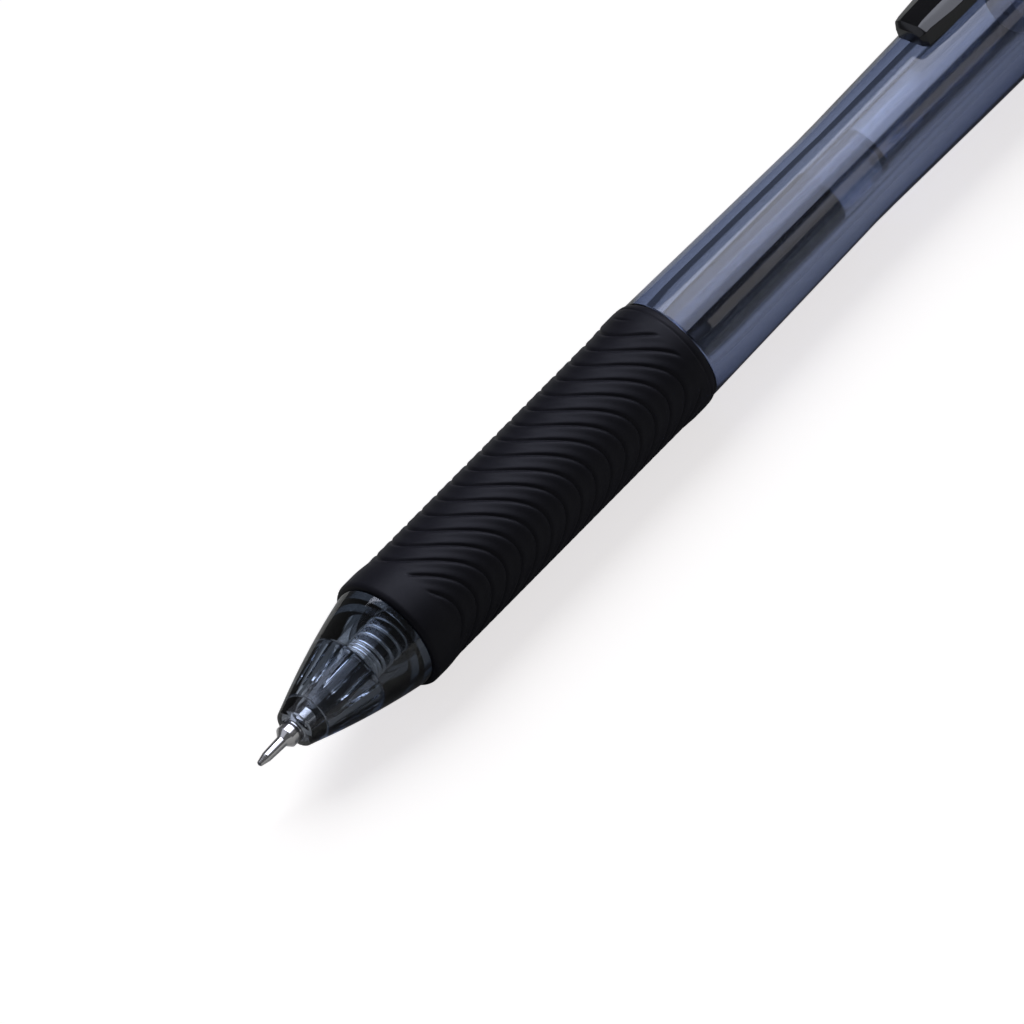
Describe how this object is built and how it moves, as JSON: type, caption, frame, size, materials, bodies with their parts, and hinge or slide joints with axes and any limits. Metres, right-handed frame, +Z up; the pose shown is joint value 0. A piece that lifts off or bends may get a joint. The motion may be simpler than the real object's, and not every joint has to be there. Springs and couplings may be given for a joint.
{
  "type": "gel pen",
  "caption": "Retractable gel pen: smoky clear barrel and nose, black wave-grooved rubber grip, springy clip, latching push button and replaceable black gel refill.",
  "frame": {"origin": "on the surface that the pen lies on, under the middle of its length, with the point out", "axes": "+X along the pen towards the button, point at -X; +Z up, through the clip; +Y across"},
  "size_m": [0.1422, 0.012, 0.015],
  "materials": {
    "smoke_plastic": "clear smoky blue-grey plastic, polished",
    "grip_rubber": "matt black, fine grooves",
    "black_plastic": "polished black",
    "guide_plastic": "semi-matt, pale grey",
    "cam_plastic": "semi-matt, off-white",
    "spring_steel": "bright drawn wire",
    "nickel_silver": "turned and polished",
    "carbide": "lapped",
    "refill_plastic": "clear extruded plastic",
    "holder_plastic": "dark grey, semi-matt",
    "ink": "wet black gel",
    "grease": "clear grease"
  },
  "bodies": {
    "barrel": {"barrel_tube": "smoke_plastic", "grip_sleeve": "grip_rubber", "cam_guide": "guide_plastic", "rear_cap": "black_plastic", "return_spring": "spring_steel"},
    "nose": {"nose_cone": "smoke_plastic"},
    "clip_arm": {"clip": "black_plastic"},
    "knock": {"push_button": "black_plastic", "cam_plunger": "cam_plastic"},
    "rotor": {"cam_rotor": "cam_plastic"},
    "refill": {"refill_tube": "refill_plastic", "tip_holder": "holder_plastic", "metal_point": "nickel_silver", "tip_spring": "spring_steel", "check_ball": "carbide", "gel_ink": "ink", "grease_follower": "grease", "tail_plug": "cam_plastic"},
    "ball": {"writing_ball": "carbide"}
  },
  "joints": [
    {"name": "knock_slide", "type": "slide", "parent": "barrel", "child": "knock", "axis": [-1, 0, 0], "range_m": [-0.0055, 0.0012]},
    {"name": "refill_slide", "type": "slide", "parent": "barrel", "child": "refill", "axis": [-1, 0, 0], "range_m": [-0.0055, 0.0012], "deforming": ["return_spring"]},
    {"name": "cam_turn", "type": "hinge", "parent": "refill", "child": "rotor", "pos_m": [0.04337, 0, 0.00605], "axis": [1, 0, 0], "range_deg": [-45, 9.9]},
    {"name": "clip_flex", "type": "hinge", "parent": "barrel", "child": "clip_arm", "pos_m": [0.06273, 0, 0.01325], "axis": [0, 1, 0], "range_deg": [0, 7], "stiffness_Nm_per_rad": 1.3},
    {"name": "nose_unscrew", "type": "slide", "parent": "barrel", "child": "nose", "axis": [-1, 0, 0], "range_m": [0, 0.028]},
    {"name": "ball_roll", "type": "hinge", "parent": "refill", "child": "ball", "pos_m": [-0.07087, 0, 0.00605], "axis": [0, 1, 0], "continuous": true}
  ],
  "couplings": [
    {"joint": "refill_slide", "follows": "knock_slide", "ratio": 1},
    {"joint": "cam_turn", "follows": "knock_slide", "rad_per_m": 142.7}
  ]
}
